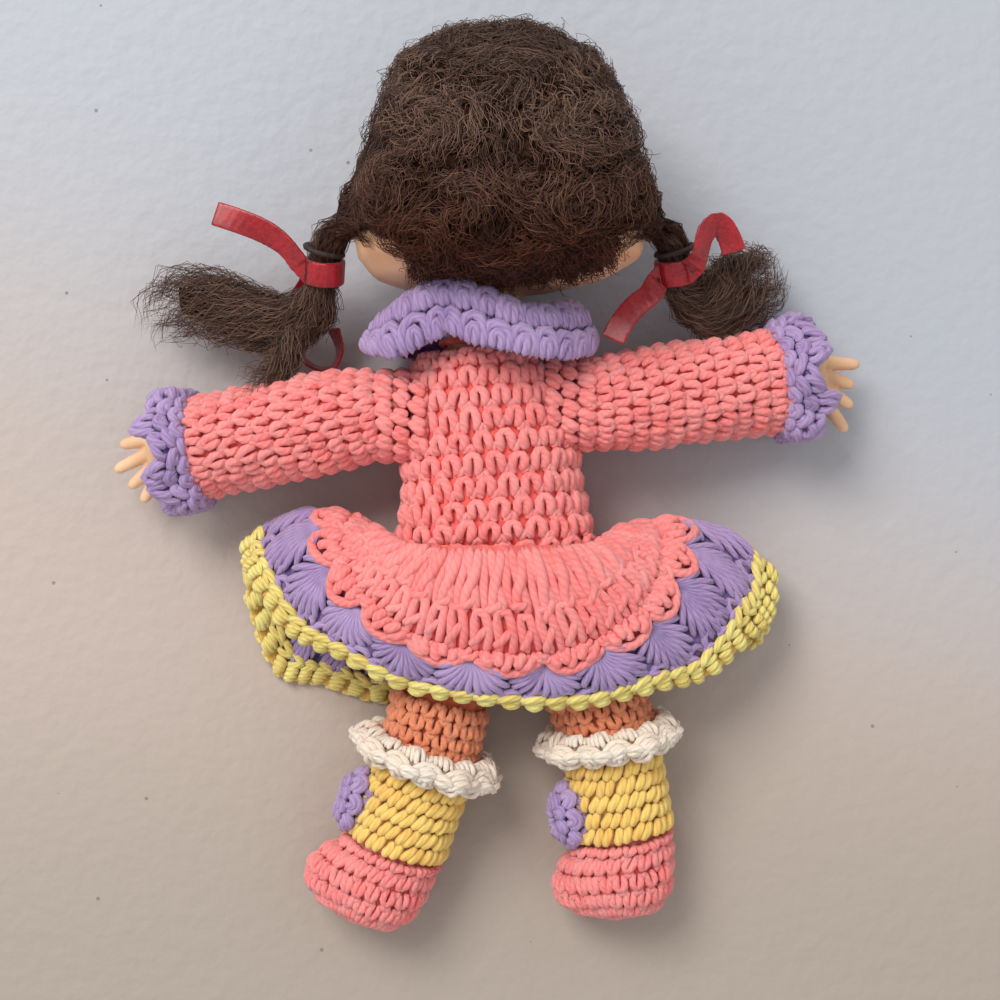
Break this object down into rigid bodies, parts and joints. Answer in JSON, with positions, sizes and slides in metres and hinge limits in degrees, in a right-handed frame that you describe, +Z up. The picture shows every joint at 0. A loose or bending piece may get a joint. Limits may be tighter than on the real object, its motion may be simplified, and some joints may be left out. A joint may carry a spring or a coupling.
{
  "type": "doll",
  "caption": "Crocheted doll with vinyl head and hands, curly hair in two ribboned tails, a frilled collar, a flounced skirt, boots and shoes, lying on its front",
  "frame": {"origin": "on the table under the middle of the chest, on the flat where the bodice rests", "axes": "+Z is up from the table and out of the doll's back, +Y runs from the feet to the head, and +X points to the doll's own right hand"},
  "size_m": [0.1798, 0.2145, 0.0673],
  "materials": {
    "brown_hair": "rooted curly synthetic hair",
    "coral_yarn": "worsted acrylic yarn, crocheted",
    "hair_elastic": "thin brown hair elastic",
    "lilac_yarn": "worsted acrylic yarn, crocheted",
    "orange_yarn": "worsted acrylic yarn, crocheted",
    "polyester_fill": "loose polyester fibre fill",
    "red_satin": "satin ribbon",
    "skin_vinyl": "soft vinyl, matt",
    "white_yarn": "worsted acrylic yarn, crocheted",
    "yellow_yarn": "worsted acrylic yarn, crocheted"
  },
  "bodies": {
    "torso": {"bodice": "coral_yarn", "body_stuffing": "polyester_fill", "collar": "lilac_yarn", "neck_thread": "coral_yarn", "skirt_band": "lilac_yarn", "skirt_edging": "yellow_yarn", "skirt_flounce": "coral_yarn"},
    "head": {"hair_cap": "brown_hair", "head": "skin_vinyl"},
    "left_tail": {"left_hair_elastic": "hair_elastic", "left_hair_tail": "brown_hair", "left_ribbon_knot": "red_satin", "left_ribbon_loop": "red_satin", "left_ribbon_streamer": "red_satin"},
    "left_arm": {"left_arm_stuffing": "polyester_fill", "left_cuff": "lilac_yarn", "left_sleeve": "coral_yarn"},
    "left_hand": {"left_hand": "skin_vinyl"},
    "left_leg": {"left_boot": "yellow_yarn", "left_boot_bow": "lilac_yarn", "left_foot_stuffing": "polyester_fill", "left_shoe": "coral_yarn", "left_sock_ruffle": "white_yarn", "left_thigh": "orange_yarn", "left_thigh_stuffing": "polyester_fill"},
    "right_tail": {"right_hair_elastic": "hair_elastic", "right_hair_tail": "brown_hair", "right_ribbon_knot": "red_satin", "right_ribbon_loop": "red_satin", "right_ribbon_streamer": "red_satin"},
    "right_arm": {"right_arm_stuffing": "polyester_fill", "right_cuff": "lilac_yarn", "right_sleeve": "coral_yarn"},
    "right_hand": {"right_hand": "skin_vinyl"},
    "right_leg": {"right_boot": "yellow_yarn", "right_boot_bow": "lilac_yarn", "right_foot_stuffing": "polyester_fill", "right_shoe": "coral_yarn", "right_sock_ruffle": "white_yarn", "right_thigh": "orange_yarn", "right_thigh_stuffing": "polyester_fill"}
  },
  "joints": [
    {"name": "neck_turn", "type": "hinge", "parent": "torso", "child": "head", "pos_m": [-0.0024, 0.031, 0.023], "axis": [0, 1, 0], "range_deg": [-40, 40]},
    {"name": "left_shoulder_sweep", "type": "hinge", "parent": "torso", "child": "left_arm", "pos_m": [-0.02982, 0.01514, 0.02412], "axis": [0, 1, 0], "range_deg": [-45, 45]},
    {"name": "left_wrist_turn", "type": "hinge", "parent": "left_arm", "child": "left_hand", "pos_m": [-0.07053, 0.00782, 0.01683], "axis": [-0.9692, -0.1744, -0.1736], "range_deg": [-60, 60]},
    {"name": "right_shoulder_sweep", "type": "hinge", "parent": "torso", "child": "right_arm", "pos_m": [0.02704, 0.01819, 0.02354], "axis": [0, -1, 0], "range_deg": [-45, 45]},
    {"name": "right_wrist_turn", "type": "hinge", "parent": "right_arm", "child": "right_hand", "pos_m": [0.06802, 0.0238, 0.01624], "axis": [0.9757, 0.1337, -0.1736], "range_deg": [-60, 60]},
    {"name": "left_hip_splay", "type": "hinge", "parent": "torso", "child": "left_leg", "pos_m": [-0.0086, -0.03838, 0.0168], "axis": [0, 0, -1], "range_deg": [-5, 12]},
    {"name": "right_hip_splay", "type": "hinge", "parent": "torso", "child": "right_leg", "pos_m": [0.0202, -0.03613, 0.0168], "axis": [0, 0, 1], "range_deg": [-5, 12]},
    {"name": "left_tail_lift", "type": "hinge", "parent": "head", "child": "left_tail", "pos_m": [-0.03718, 0.05791, 0.02656], "axis": [0, 1, 0], "range_deg": [-10, 30]},
    {"name": "right_tail_lift", "type": "hinge", "parent": "head", "child": "right_tail", "pos_m": [0.04078, 0.05791, 0.02656], "axis": [0, -1, 0], "range_deg": [-10, 30]}
  ]
}
